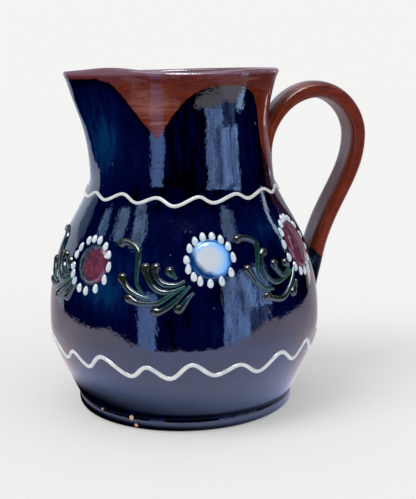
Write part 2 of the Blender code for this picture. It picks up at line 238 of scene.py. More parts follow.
# Sprigs: strokes from the bulb to the thin tip, as azimuth from the photo's middle and
# height in millimetres
LEFT_SPRIG = (
    ((-30.7, 102), (-26.4, 103.4), (-22.1, 101.7), (-19.6, 97.5), (-19.2, 84.5), (-16.3, 78.4)),
    ((-16.8, 93.9), (-15.1, 88.2), (-12.7, 83), (-9.4, 80.2), (-4.9, 80.2), (0.4, 82.6)),
    ((-11.2, 94.1), (-11.8, 89.8), (-10.4, 86), (-7.5, 83.6), (-3.2, 83.5), (0.4, 85.4)),
    ((-7.3, 91.7), (-5.2, 89.2), (-2.7, 86.5)),
    ((-27.1, 88.3), (-24.6, 83.7), (-21.8, 80), (-17.8, 77.8), (-13.7, 76.6)),
    ((-23.7, 77.4), (-19.4, 74.7), (-15.2, 73.8), (-10.5, 74.5), (-6.7, 77.3), (0, 82.6)),
    ((-13.3, 70.3), (-9.4, 70.4), (-5.3, 73.6), (-1.2, 78.2), (2.4, 83)),
    ((-4, 70.5), (-1.3, 72.4), (1.4, 76.7), (3.8, 79.6)),
)
RIGHT_SPRIG = (
    ((23.3, 103.1), (27.7, 104.1), (32.8, 102.5), (34.5, 99.3), (32.4, 88.2), (33.4, 83.1)),
    ((39, 97.2), (35.7, 94.4), (34.6, 88.9), (36.3, 83.5), (40.4, 80.2), (45.7, 81.1), (51.7, 83.9)),
    ((41.4, 91.7), (42.2, 87), (45.3, 82.8), (50.5, 85.5)),
    ((48, 90.5), (49, 88.6), (50.6, 86.4)),
    ((26.8, 91), (28.5, 86.4), (30.7, 82), (34, 78.4), (38.6, 77)),
    ((33.1, 75), (37.5, 72.5), (42.6, 71.3), (46.6, 74.1), (50.9, 79.4), (54, 84.5)),
    ((48.9, 70.8), (51.3, 74.5), (54, 78.1)),
)
SPRIGS = (
    ("sprig_left", LEFT_SPRIG, 0),
    ("sprig_right", RIGHT_SPRIG, 0),
    ("sprig_far_left", LEFT_SPRIG, -53.5),
    ("sprig_back_left", RIGHT_SPRIG, 186),
    ("sprig_back_right", LEFT_SPRIG, 185),
)
STROKE_WIDTH = 3.2
STROKE_RELIEF = 1.45
STROKE_START = 0.08
STROKE_FULL = 0.45
STROKE_THINNING = 0.5
BULB_WIDTH = 4.8
BULB_REACH = 0.55
BULB_LIFT = 0.25

# Where the brown dip ends: azimuth from the handle and height in millimetres
DIP_EDGE = (
    (0, 128), (20, 130), (35.6, 134.8), (40.2, 142.2), (44, 149.4), (45.2, 156.4),
    (46.6, 163.3), (50.1, 170.2), (56.2, 177.2), (63.9, 180.7), (72.6, 182.2), (80.9, 182.4),
    (88.4, 181.9), (94, 180.1), (99.7, 176.3), (104.9, 171.2), (109.5, 166), (113.7, 160.6),
    (118, 154.6), (124.1, 160.4), (129.5, 165.8), (135.5, 172.4), (141.5, 178.4), (146.6, 182.4),
    (155.9, 184.8), (180, 186),
)
HANDLE_DIP_EDGE = 0.0880
HANDLE_DIP_LEAN = 0.95

# Zones in metres: heights of the rim, with the lip where a pale highlight is painted, the groove
# and the underside, and the way up past the dip's edge
LIP_ZONE = (HEIGHT - 0.0034, HEIGHT - 0.0014)
RIM_ZONE = (HEIGHT - 0.0085, HEIGHT - 0.0035)
DRAG_ZONE = (HEIGHT - 0.0240, HEIGHT - 0.0080)
GROOVE_START = (0.0052, 0.0070)
GROOVE_END = (0.0112, 0.0090)
UNDERSIDE_ZONE = (0.0003, 0.0001)
DIP_BLUR = (-0.0005, 0.0005)
DIP_SHADOW = (-0.0060, -0.0004)
GLOSS_BLUR = (-0.0006, 0.0006)
EDGE_WANDER = 0.0016

# Glazes: screen colours, and for the bluer tones of the navy and for the ramps the value
# where each one lies
NAVY = (0, 0, 6)
BLUER_TONES = ((-0.05, 0.25, (1, 2, 42)), (0.25, 0.80, (2, 14, 58)), (0.70, 1.25, (4, 44, 88)))
BODY_BROWNS = ((88, 28, 14), (110, 44, 30), (142, 88, 80))
HANDLE_BROWNS = ((104, 34, 6), (122, 48, 16), (146, 90, 84))
BLUE_STOPS = (
    (0.0, (204, 212, 220)), (0.44, (200, 212, 226)), (0.62, (166, 206, 250)),
    (0.76, (126, 188, 255)), (0.88, (80, 152, 232)), (0.98, (20, 84, 156)),
)
GREEN_STOPS = (
    (0.0, (36, 34, 16)), (0.2, (28, 36, 22)), (0.45, (16, 38, 34)), (0.75, (20, 56, 52)),
    (1.0, (34, 82, 76)),
)
GLAZE_IOR = 1.75
SLIP_IOR = 1.6
FACE_SHINE = 7.5
LIP_SHINE = 3.4
FACE_ROUGHNESS = 0.16
CLAY_ROUGHNESS = 0.7
THROWN_RELIEF = 0.000022
RIPPLE_RELIEF = 0.0001
PEEL_RELIEF = 0.000034
GRAIN_RELIEF = 0.0002
SLIP_RELIEF = 0.0003
MAROON_RELIEF = 0.0005

# Chips that show the clay: azimuth from the photo's middle, height and radius, in millimetres
CHIPS = ((-48.3, 7.0, 0.9), (-28.4, 6.6, 1.4), (-25.9, 2.6, 1.2))
CHIP_DEPTH = 0.35

# Places where the blue shows most: azimuth from the photo's middle and height in
# millimetres, the half width in degrees and the half height in millimetres, and how much
BLUE_PATCHES = (
    (-56, 152, 20, 26, 1.20), (-22, 150, 14, 22, 0.35), (0, 60, 80, 34, 0.15),
    (-34, 78, 14, 12, 1.05), (44, 60, 16, 14, 0.35), (-30, 100, 24, 14, 0.5),
    (-6, 84, 12, 14, 0.4), (20, 98, 24, 10, 0.2), (34, 150, 20, 30, 0.35),
    (4, 112, 26, 8, 0.35), (48, 108, 18, 10, 0.75), (18, 60, 12, 12, 0.45),
    (120, 120, 30, 30, 0.8), (170, 90, 30, 24, 0.8), (215, 140, 26, 26, 0.9),
    (240, 70, 28, 20, 0.8),
)

# Places where the brown is paler and pinker, partly the glaze's own haze and partly a painted
# reflection, in the same terms
HAZE_AND_REFLECTION_PATCHES = (
    (-20, 174, 14, 9, 0.75), (-12, 160, 8, 12, 0.25), (-44, 184, 20, 4, 0.45),
    (14, 181, 24, 5, 0.35), (56, 180, 14, 8, 0.4), (72, 160, 8, 30, 0.3),
    (120, 176, 30, 14, 0.5), (190, 172, 24, 16, 0.6), (250, 180, 30, 10, 0.5),
)

# Camera, by the photograph
PHOTO_SIZE = (416, 499)
CAMERA_DISTANCE = 0.540
CAMERA_HEIGHT = 0.194
CAMERA_YAW = 1.52
CAMERA_PITCH = 11.20
CAMERA_ROLL = 0.85
FOCAL_PIXELS = 950.0
SENSOR_WIDTH = 36.0

# The studio is laid out as the camera sees it: X to its right and Y away from it
STUDIO_AZIMUTH = PHOTO_AZIMUTH + 90.0
STUDIO_TURN = Matrix.Rotation(math.radians(STUDIO_AZIMUTH), 4, "Z")
GROUND_CORNERS = ((-6.1, -6.1), (6.1, -6.1), (6.1, 6.1), (-6.1, 6.1))
BACKDROP_RADIUS = 6.0
BACKDROP_FOOT = -0.01
BACKDROP_STEPS = 48
PALE = (0.904, 0.904, 0.889)
PAPER_GLOW = 0.28
BLACK = (0.0, 0.0, 0.0, 1.0)
ROOM_COLOUR = (0.97, 0.98, 1.0, 1.0)
ROOM_LIGHT = 0.65

# Suns: bearing, elevation, strength and the light's own width in degrees
SUNS = (
    ("key", -58, 54, 1.15, 34),
    ("fill", 50, 30, 0.35, 60),
)

# The lit table top that only the gloss shows, its colours, and the jug's shadow painted dark on it by
# the foot
SHEET_CORNERS = ((-0.36, -0.22), (0.46, -0.22), (0.46, 0.8), (-0.36, 0.8))
SHEET_HEIGHT = -0.0005
SHEET_SHIFT = 0.0085
SHEET_PAINTED_SHADOW = (FOOT_RADIUS - 0.001, FOOT_RADIUS + 0.0165)
SHEET_LEFT = (1.12, 0.98, 1.12, 1.0)
SHEET_RIGHT = (0.98, 0.88, 1.02, 1.0)
SHEET_FRONT = (0.98, 1.08, 1.70, 1.0)
SHEET_SHADE_NEAR_FOOT = (0.62, 0.82, 1.45, 1.0)

# Cards that only the gloss shows: the bearing from and to and the elevation from and to,
# in degrees from the camera's side of the jug, the distance, the colour, the brightness and
# how much upright stripes dim it
CARDS = (
    ("strip", (-38, -22), (-30, 11), 1.5, (0.27, 0.46, 1), 2.8, 0.3),
    ("curtain", (32, 54), (-20, 19), 1.5, (0.30, 0.50, 1), 3.8, 0.85),
    ("curtain_edge", (54, 76), (-3, 19), 1.5, (0.30, 0.50, 1), 4.8, 0.88),
    ("curtain_low", (54, 72), (-20, -3), 1.5, (0.30, 0.50, 1), 1.1, 0.9),
    ("curl", (77, 87), (-20, -12), 1.5, (0.40, 0.62, 1), 4, 0),
    ("table_left", (-36, -2), (-27, -19), 1.6, (1, 0.86, 0.80), 1.8, 0.6),
    ("table_right", (19, 72), (-28, -20), 1.6, (1, 1, 1.02), 0.85, 0.3),
    ("window_far", (-102, -92), (27, 36), 1.5, (0.30, 0.60, 1), 2.6, 0.6),
    ("window", (-84, -70), (33, 42), 1.5, (0.40, 0.64, 1), 3.2, 0.7),
    ("window_near", (-60, -46), (34, 48), 1.5, (0.40, 0.64, 1), 2.6, 0.7),
    ("window_high", (50, 64), (38, 50), 1.5, (0.40, 0.64, 1), 1.8, 0.6),
    ("sliver_right", (110, 113.5), (11, 27), 1.5, (0.62, 0.78, 1), 3.2, 0),
    ("sliver_neck", (134, 142), (-16, -1.5), 1.5, (1, 0.84, 0.92), 2.8, 0.5),
    ("left_wall", (180, 240), (-14, 12), 1.8, (0.70, 0.80, 1), 1.15, 0),
    ("left_wall_middle", (180, 240), (12, 34), 1.8, (0.44, 0.66, 1), 0.50, 0),
    ("left_wall_top", (180, 240), (34, 78), 1.8, (0.60, 0.70, 1), 0.40, 0),
    ("right_wall", (128, 180), (-22, 60), 1.8, (0.84, 0.82, 1), 0.42, 0),
    ("back_window", (156, 204), (6, 34), 1.7, (0.86, 0.86, 1), 1, 0),
    ("softbox_left", (-70, -18), (52, 78), 1.6, (0.88, 0.90, 1), 4, 0),
    ("softbox", (-18, 34), (52, 88), 1.6, (0.82, 0.88, 1), 20, 0),
    ("softbox_right", (34, 70), (52, 78), 1.6, (0.88, 0.90, 1), 4, 0),
    ("ceiling", (70, 290), (53, 89), 1.7, (0.82, 0.84, 1), 0.9, 0),
)
CARD_MIDDLE = 0.10
CARD_STEP = 6.0


def smoothstep(low, high, value):
    share = min(max((value - low) / (high - low), 0.0), 1.0)
    return share * share * (3.0 - 2.0 * share)


def swell(turn, middle, reach):
    """1 at a middle, falling to 0 at some reach from it on both sides, in degrees."""
    return math.cos(math.radians(90.0 * min(abs(turn - middle) / reach, 1.0))) ** 2


def around(turn, radius, height):
    """A point by its angle about the axis in radians, its radius and its height."""
    return Vector((radius * math.cos(turn), radius * math.sin(turn), height))


def unevenness(turn, along, grain):
    """Smooth noise from -1 to 1 round a piece and along it."""
    return noise.noise(around(turn, grain[0], along * grain[1]))


def turn_from(azimuth, middle):
    """How far an azimuth lies from a spot that is measured from the photo's middle."""
    return (azimuth - PHOTO_AZIMUTH - middle + 180.0) % 360.0 - 180.0


def outer_side(height):
    """Radius of the thrown body's outer side, and its change with height."""
    for low, high in zip(STATIONS, STATIONS[1:]):
        if height <= high[0] or high is STATIONS[-1]:
            break
    span = high[0] - low[0]
    t = min(max((height - low[0]) / span, 0.0), 1.0)
    radius = (
        (2 * t**3 - 3 * t**2 + 1) * low[1]
        + (3 * t**2 - 2 * t**3) * high[1]
        + span * ((t**3 - 2 * t**2 + t) * low[2] + (t**3 - t**2) * high[2])
    )
    slope = (
        6 * (t**2 - t) * (low[1] - high[1]) / span
        + (3 * t**2 - 4 * t + 1) * low[2]
        + (3 * t**2 - 2 * t) * high[2]
    )
    return radius, slope


def spout_shift(azimuth, height):
    """How far the spout carries a point out from the axis, and how far the rim lifts it."""
    turn = abs(azimuth % 360.0 - 180.0)
    radius = outer_side(min(height, HEIGHT))[0]
    reach = SPOUT_REACH * smoothstep(SPOUT_START, SPOUT_FULL, height)
    tangent = math.degrees(math.acos(radius / (radius + reach))) + SPOUT_NOSE
    rounded = math.hypot(turn, SPOUT_NOSE)
    out = radius * (1.0 / math.cos(math.radians(max(tangent - rounded, 0.0))) - 1.0)
    near_rim = smoothstep(HEIGHT - PINCH_DEPTH, HEIGHT, height)
    share = 1.0 if azimuth % 360.0 > 180.0 else FAR_PINCH_SHARE
    lift = PINCH_LIFT * swell(turn, PINCH_ANGLE, PINCH_SPREAD)
    sag = RIM_SAG * swell(turn, RIM_SAG_ANGLE, RIM_SAG_SPREAD)
    over_handle = HANDLE_SIDE_LIFT * smoothstep(90.0, 180.0, turn)
    return out, near_rim * (share * (lift - sag) + over_handle)


def on_body(azimuth, height):
    """A frame on the outer side: X along the body, Y up it, Z out of it."""
    radius, slope = outer_side(height)
    turn = math.radians(azimuth)
    east = Vector((-math.sin(turn), math.cos(turn), 0.0))
    out = Vector((math.cos(turn), math.sin(turn), -slope)).normalized()
    place = Matrix((east, out.cross(east), out)).transposed().to_4x4()
    place.translation = around(turn, radius, height)
    return place


def beside(azimuth, height, along, up):
    """The azimuth and height of a point some way along and up the body from another."""
    radius, slope = outer_side(height)
    return azimuth + math.degrees(along / radius), height + up / math.hypot(1.0, slope)


def dip_edge(azimuth):
    """Height at which the brown dip ends, the same on both sides of the handle."""
    turn = abs((azimuth + 180.0) % 360.0 - 180.0)
    return float(np.interp(turn, *zip(*DIP_EDGE))) * MM


def patchy(patches, azimuth, height):
    """How far a place on the body lies within soft patches, from 0 to about 1."""
    total = 0.0
    for middle, level, half_width, half_height, share in patches:
        turn = turn_from(azimuth, middle)
        rise = height / MM - level
        total += share * math.exp(-(turn / half_width) ** 2 - (rise / half_height) ** 2)
    return total


def chip_depth(azimuth, height):
    """How deep a chip is at a place on the body."""
    radius = outer_side(max(height, FOOT_HEIGHT))[0]
    for middle, level, size in CHIPS:
        along = math.radians(turn_from(azimuth, middle)) * radius
        away = math.hypot(along, height - level * MM) / (size * MM)
        if away < 1.0:
            return CHIP_DEPTH * MM * (1.0 - away**2)
    return 0.0


def link(name, data):
    """A new object in the scene."""
    thing = bpy.data.objects.new(name, data)
    bpy.context.scene.collection.objects.link(thing)
    return thing


def add_object(name, form, material):
    """An object from a form, with smooth shading and its normals outward."""
    bmesh.ops.recalc_face_normals(form, faces=form.faces)
    mesh = bpy.data.meshes.new(name)
    form.to_mesh(mesh)
    form.free()
    mesh.materials.append(material)
    mesh.shade_smooth()
    return link(name, mesh)


def add_piece(name, form, material, **layers):
    """A piece of the jug, which rides on its one body. Each layer has a value for each
    corner point, which the material reads by the layer's name."""
    thing = add_object(name, form, material)
    for key, values in layers.items():
        layer = thing.data.attributes.new(key, "FLOAT", "POINT")
        layer.data.foreach_set("value", np.asarray(values, dtype=np.float32))
    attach(thing, "root")
    return thing


def join_rows(form, table, closed):
    """Faces from each row of corners to the next. A closed row runs on into its start."""
    for near, far in zip(table, table[1:]):
        for k in range(len(near) if closed else len(near) - 1):
            m = (k + 1) % len(near)
            form.faces.new((near[k], near[m], far[m], far[k]))


def join_solid(form, table):
    """Faces round closed rows, with a cap at each end."""
    join_rows(form, table, True)
    form.faces.new(list(reversed(table[0])))
    form.faces.new(table[-1])


def arc(middle, radius, start, end, steps):
    """Points of radius and height on an arc, by angles from +X towards +Z in degrees."""
    points = []
    for i in range(steps + 1):
        angle = math.radians(start + (end - start) * i / steps)
        points.append((middle[0] + radius * math.cos(angle), middle[1] + radius * math.sin(angle)))
    return points


def rows(low, high, step):
    """Even steps from low up to high, without high itself."""
    count = max(round(abs(high - low) / step), 1)
    return [low + (high - low) * i / count for i in range(count)]


def foot_side(height):
    """Radius of the outer side near the foot, with the soft groove above the foot."""
    away = (height - FOOT_GROOVE_HEIGHT) / FOOT_GROOVE_WIDTH
    return outer_side(max(height, FOOT_HEIGHT))[0] - FOOT_GROOVE_DEPTH * math.exp(-away**2)


def body_profile():
    """Radius, height and whether inside, from the underside round the rim to the floor."""
    lip = (WALL - LIP_LAND) / 2
    middle = RIM_RADIUS - WALL / 2
    groove_top = FOOT_HEIGHT + GROOVE_ZONE
    outside = [(radius, 0.0) for radius in rows(CENTRE_RADIUS, FOOT_RADIUS - FOOT_EDGE, FLAT_ROW)]
    outside += arc((FOOT_RADIUS - FOOT_EDGE, FOOT_EDGE), FOOT_EDGE, -90, 0, FOOT_STEPS)
    outside += [(foot_side(z), z) for z in rows(FOOT_EDGE + GROOVE_ROW, groove_top, GROOVE_ROW)]
    outside += [(outer_side(z)[0], z) for z in rows(groove_top, HEIGHT - LIP_START * lip, SIDE_ROW)]
    outside += arc((middle + LIP_LAND / 2, HEIGHT - lip), lip, 0, 90, LIP_STEPS)
    inside = arc((middle - LIP_LAND / 2, HEIGHT - lip), lip, 90, 180, LIP_STEPS)
    corner_top = FLOOR + FLOOR_CORNER
    for z in rows(HEIGHT - LIP_END * lip, corner_top, INSIDE_ROW):
        radius, slope = outer_side(z)
        inside.append((radius - WALL * math.hypot(1.0, slope), z))
    radius, slope = outer_side(corner_top)
    edge = radius - WALL * math.hypot(1.0, slope) - FLOOR_CORNER
    inside += arc((edge, corner_top), FLOOR_CORNER, 0, -90, CORNER_STEPS)
    inside += [(radius, FLOOR) for radius in rows(edge - CORNER_ROW, CENTRE_RADIUS, FLAT_ROW)]
    return [(x, z, False) for x, z in outside] + [(x, z, True) for x, z in inside]


def make_body(material):
    form = bmesh.new()
    table = []
    dip = []
    blue = []
    haze = []
    for radius, z, within in body_profile():
        row = []
        for j in range(TURN_STEPS):
            azimuth = 360.0 * j / TURN_STEPS
            turn = math.radians(azimuth)
            out, lift = spout_shift(azimuth, z)
            reach = radius + out
            if not within:
                reach -= chip_depth(azimuth, z)
                if z >= FOOT_HEIGHT:
                    reach += THROWING_RIPPLE * unevenness(turn, z, BODY_GRAIN)
            row.append(form.verts.new(around(turn, reach, z + lift)))
            dip.append(INSIDE_DIP if within else z - dip_edge(azimuth))
            blue.append(patchy(BLUE_PATCHES, azimuth, z))
            # The haze layer is partly the glaze's own paleness and partly a painted reflection.
            haze.append(INSIDE_HAZE if within else patchy(HAZE_AND_REFLECTION_PATCHES, azimuth, z))
        table.append(row)
    join_solid(form, table)
    return add_piece("jug_body", form, material, dip=dip, blue=blue, haze=haze)


def in_plane(x, z):
    """A point of the plane through the spout and the handle."""
    return Vector((x, 0.0, z))


def beside_body(height, stand):
    """A point of that plane that stands some way out from the body's outer side."""
    return in_plane(outer_side(height)[0] + stand, height)


def handle_line():
    """The middle line of the strap, from the neck over to the belly."""
    root = beside_body(HANDLE_ROOT_HEIGHT, -HANDLE_SINK)
    crown = in_plane(HANDLE_CROWN_REACH, HANDLE_CROWN_HEIGHT)
    bend = in_plane(HANDLE_REACH, HANDLE_BEND_HEIGHT)
    foot = beside_body(HANDLE_FOOT_HEIGHT, HANDLE_FOOT_STAND)
    tail = beside_body(HANDLE_TAIL_HEIGHT, -HANDLE_SINK)
    rise = in_plane(0.0, crown.z - root.z)
    fall = in_plane(0.0, bend.z - foot.z)
    land = in_plane(0.0, foot.z - tail.z)
    out = in_plane(crown.x - root.x, 0.0)
    shoulder = in_plane(bend.x - crown.x, 0.0)
    drop = in_plane(0.0, crown.z - bend.z)
    lean = in_plane(FOOT_LEAN, 1.0)
    arms = (
        (root, root + rise * ROOT_RISE - out * ROOT_TUCK, crown - out * CROWN_EASE, crown),
        (crown, crown + shoulder * SHOULDER_EASE, bend + drop * SHOULDER_EASE, bend),
        (bend, bend - fall * BEND_EASE, foot + lean * fall.z * FOOT_EASE, foot),
        (foot, foot - lean * land.z * TAIL_EASE, tail + land * TAIL_EASE, tail),
    )
    line = []
    for arm in arms:
        line += interpolate_bezier(*arm, STRAP_STEPS + 1)[:-1]
    return line + [tail]


def stand_off(point):
    """How far a point stands off the body's outer side, and the way out from it."""
    radius, slope = outer_side(min(max(point.z, FOOT_HEIGHT), HEIGHT))
    reach = math.hypot(point.x, point.y)
    out = Vector((point.x / reach, point.y / reach, -slope)).normalized()
    return (reach - radius) / math.hypot(1.0, slope), out


def filleted(point, middle):
    """A point of the strap, moved aside near the body so that the two run into each other."""
    off, out = stand_off(point)
    if off >= ROOT_FILLET:
        return point
    aside = point - middle
    aside -= out * aside.dot(out)
    share = min(1.0 - max(off, 0.0) / ROOT_FILLET, 1.0)
    return point + aside.normalized() * ROOT_FILLET * (1.0 - math.sqrt(1.0 - share**2)) * FILLET_SPREAD


def squared(share, power):
    """A sine or cosine, pushed out towards its end by a power under 1."""
    return math.copysign(abs(share) ** power, share)


def strap_section(angle):
    """A point of the strap's section in half sizes: flat inside and rounded outside, with
    a shallow line that the fingers drew along each side."""
    powers = STRAP_OUTSIDE if math.sin(angle) > 0.0 else STRAP_INSIDE
    side = squared(math.cos(angle), powers[0])
    up = squared(math.sin(angle), powers[1])
    line = math.exp(-((up - STRAP_LINE_PLACE) / STRAP_LINE_WIDTH) ** 2)
    return side * (1.0 - STRAP_LINE_DEPTH * line), up


def blended(usual, root, tail, near_root, near_tail):
    """A size of the strap, which changes towards its root and its tail."""
    return usual + (root - usual) * near_root + (tail - usual) * near_tail


def make_handle(material):
    line = handle_line()
    across = Vector((0.0, 1.0, 0.0))
    form = bmesh.new()
    table = []
    dip = []
    haze = []
    face = []
    dull = []
    for i, middle in enumerate(line):
        ahead = (line[min(i + 1, len(line) - 1)] - line[max(i - 1, 0)]).normalized()
        outward = ahead.cross(across)
        arm = i / STRAP_STEPS
        near_root = 1.0 - smoothstep(0.0, 1.0, arm)
        near_tail = smoothstep(3.0, 4.0, arm)
        width = blended(STRAP_WIDTH, ROOT_WIDTH, TAIL_WIDTH, near_root, near_tail)
        thick = blended(STRAP_THICKNESS, ROOT_THICKNESS, TAIL_THICKNESS, near_root, near_tail)
        row = []
        for k in range(STRAP_SIDES):
            angle = 2.0 * math.pi * (k + 0.5) / STRAP_SIDES
            pull = 1.0 + STRAP_PULL * unevenness(angle, i, STRAP_GRAIN)
            side, up = (share * pull for share in strap_section(angle))
            point = middle + across * (side * width / 2) + outward * (up * thick / 2)
            corner = form.verts.new(filleted(point, middle))
            row.append(corner)
            # The last share paints a paler reflection on the strap's outer face. The first two are the
            # glaze's own paleness.
            haze_shares = (
                1.0,
                unevenness(angle, i, STRAP_HAZE_GRAIN),
                smoothstep(*PAINTED_REFLECTION_FACE, up) * (1.0 - near_tail),
            )
            dip.append(corner.co.z - HANDLE_DIP_EDGE + HANDLE_DIP_LEAN * (corner.co.x - line[-1].x))
            haze.append(sum(part * share for part, share in zip(HANDLE_HAZE_AND_REFLECTION, haze_shares)))
            face.append(max(smoothstep(*INNER_FACE, -up), smoothstep(*OUTER_FACE, up)))
            dull.append(smoothstep(*DULL_FACE, up) * (1.0 - smoothstep(*DULL_END, arm)))
        table.append(row)
    join_solid(form, table)
    return add_piece("handle", form, material, dip=dip, haze=haze, face=face, dull=dull)


def smooth_line(spots, steps):
    """A smooth line through spots, with some steps from each to the next."""
    last = len(spots) - 1
    line = []
    for i in range(last):
        p1, p2 = spots[i], spots[i + 1]
        p0 = spots[i - 1] if i else 2 * p1 - p2
        p3 = spots[i + 2] if i + 1 < last else 2 * p2 - p1
        for k in range(steps):
            t = k / steps
            line.append(0.5 * (
                2 * p1 + (p2 - p0) * t + (2 * p0 - 5 * p1 + 4 * p2 - p3) * t**2
                + (3 * p1 - p0 - 3 * p2 + p3) * t**3
            ))
    return line + [spots[-1]]


def trail(form, spots, widths, reliefs, closed):
    """A rounded bead of slip over spots of azimuth and height. Returns each corner's
    share of the way along it."""
    frames = [on_body(*spot) for spot in spots]
    count = len(frames)
    table = []
    shares = []
    for i, place in enumerate(frames):
        out = place.col[2].to_3d()
        before = frames[(i - 1) % count] if closed or i else place
        after = frames[(i + 1) % count] if closed or i < count - 1 else place
        side = (after.translation - before.translation).cross(out).normalized()
        row = []
        for across, up in BEAD_SECTION:
            point = place.translation + side * (across * widths[i] / 2) + out * (up * reliefs[i])
            row.append(form.verts.new(point))
            shares.append(i / (count - 1))
        table.append(row)
    join_rows(form, table + table[:1] if closed else table, False)
    return shares


def whole_wave(measured, low, high, extra):
    """The measured troughs and crests, carried on evenly round the far side."""
    spots = [Vector(spot) for spot in measured]
    last = spots[-1]
    step = (360.0 - (last.x - spots[0].x)) / (extra + 1)
    levels = (high, low) if last.y < spots[-2].y else (low, high)
    for i in range(extra):
        spots.append(Vector((last.x + step * (i + 1), levels[i % 2])))
    return spots


def make_wave(name, measured, low, high, extra, width, material):
    ring = whole_wave(measured, low, high, extra)
    lap = Vector((360.0, 0.0))
    wrapped = [ring[-1] - lap] + ring + [ring[0] + lap, ring[1] + lap]
    line = smooth_line(wrapped, WAVE_STEPS)[WAVE_STEPS:-WAVE_STEPS - 1]
    places = [(PHOTO_AZIMUTH + spot.x, spot.y * MM) for spot in line]
    widths = []
    reliefs = []
    for azimuth, height in places:
        wander = unevenness(math.radians(azimuth), height, WAVE_GRAIN)
        widths.append(width * MM * (1.0 + WAVE_WIDTH_WANDER * wander))
        reliefs.append(WAVE_RELIEF * MM * (1.0 + WAVE_RELIEF_WANDER * wander))
    form = bmesh.new()
    trail(form, places, widths, reliefs, True)
    add_piece(name, form, material)


def dollop(form, place, width, length, relief, point, divisions):
    """A low dome of slip, narrower towards its top by the share point. Returns each
    corner's place across and up it in half sizes."""
    rings, sides = divisions
    table = []
    spots = []
    for i in range(rings + 1):
        rho = DOLLOP_SKIRT * i / rings
        level = relief * (1.0 - rho**2) ** DOLLOP_ROUNDING if rho < 1.0 else -relief * DOLLOP_ROOT
        row = []
        for k in range(sides):
            angle = 2.0 * math.pi * k / sides
            x = rho * math.cos(angle)
            y = rho * math.sin(angle)
            spot = Vector((x * width / 2 * (1.0 - point * y), y * length / 2, level))
            row.append(form.verts.new(place @ spot))
            spots.append((x, y))
            if i == 0:
                break
        table.append(row)
    for inner, outer in zip(table, table[1:]):
        for k in range(sides):
            m = (k + 1) % sides
            if len(inner) == 1:
                form.faces.new((inner[0], outer[k], outer[m]))
            else:
                form.faces.new((inner[k], outer[k], outer[m], inner[m]))
    return spots


def make_flower(label, azimuth, height, offset, radii, disc_radius, bearings, petal_glaze, disc_glaze):
    azimuth += PHOTO_AZIMUTH
    height *= MM
    form = bmesh.new()
    for i, bearing in enumerate(bearings):
        turn = math.radians(bearing)
        along = (offset[0] + radii[0] * math.cos(turn)) * MM
        up = (offset[1] + radii[1] * math.sin(turn)) * MM
        wander, lean = (noise.noise(Vector((azimuth, i * step, start))) for step, start in PETAL_NOISES)
        place = on_body(*beside(azimuth, height, along, up))
        place @= Matrix.Rotation(math.radians(PETAL_LEAN * lean), 4, "Z")
        width = PETAL_WIDTH * MM * (1.0 - PETAL_WIDTH_WANDER * wander)
        length = PETAL_LENGTH * MM * (1.0 + PETAL_LENGTH_WANDER * wander)
        dollop(form, place, width, length, PETAL_RELIEF * MM, PETAL_POINT, PETAL_DIVISIONS)
    add_piece(f"petals_{label}", form, petal_glaze)
    form = bmesh.new()
    width = 2 * disc_radius * MM
    length = width * radii[1] / radii[0]
    place = on_body(azimuth, height)
    spots = dollop(form, place, width, length, DISC_RELIEF * MM, 0.0, DISC_DIVISIONS)
    across, up = zip(*spots)
    add_piece(f"disc_{label}", form, disc_glaze, across=across, up=up)


def make_sprig(name, strokes, turn, material):
    """Strokes that each start in a round bulb and run out thin."""
    form = bmesh.new()
    shares = []
    for stroke in strokes:
        line = smooth_line([Vector(spot) for spot in stroke], STROKE_STEPS)
        places = [(PHOTO_AZIMUTH + turn + spot.x, spot.y * MM) for spot in line]
        points = [on_body(*place).translation for place in places]
        runs = [0.0]
        for near, far in zip(points, points[1:]):
            runs.append(runs[-1] + (far - near).length / MM)
        widths = []
        reliefs = []
        for run in runs:
            bulb = math.exp(-((run - 0.5 * BULB_WIDTH) / (BULB_REACH * BULB_WIDTH)) ** 2)
            cap = 1.0 - max(1.0 - run / (0.5 * BULB_WIDTH), 0.0)
            start = max(math.sqrt(cap * (2.0 - cap)), STROKE_START)
            thin = 1.0 - STROKE_THINNING * smoothstep(STROKE_FULL, 1.0, run / runs[-1])
            widths.append((STROKE_WIDTH * thin + (BULB_WIDTH - STROKE_WIDTH) * bulb) * start * MM)
            reliefs.append(STROKE_RELIEF * (thin + BULB_LIFT * bulb) * start * MM)
        shares += trail(form, places, widths, reliefs, False)
    add_piece(name, form, material, along=shares)


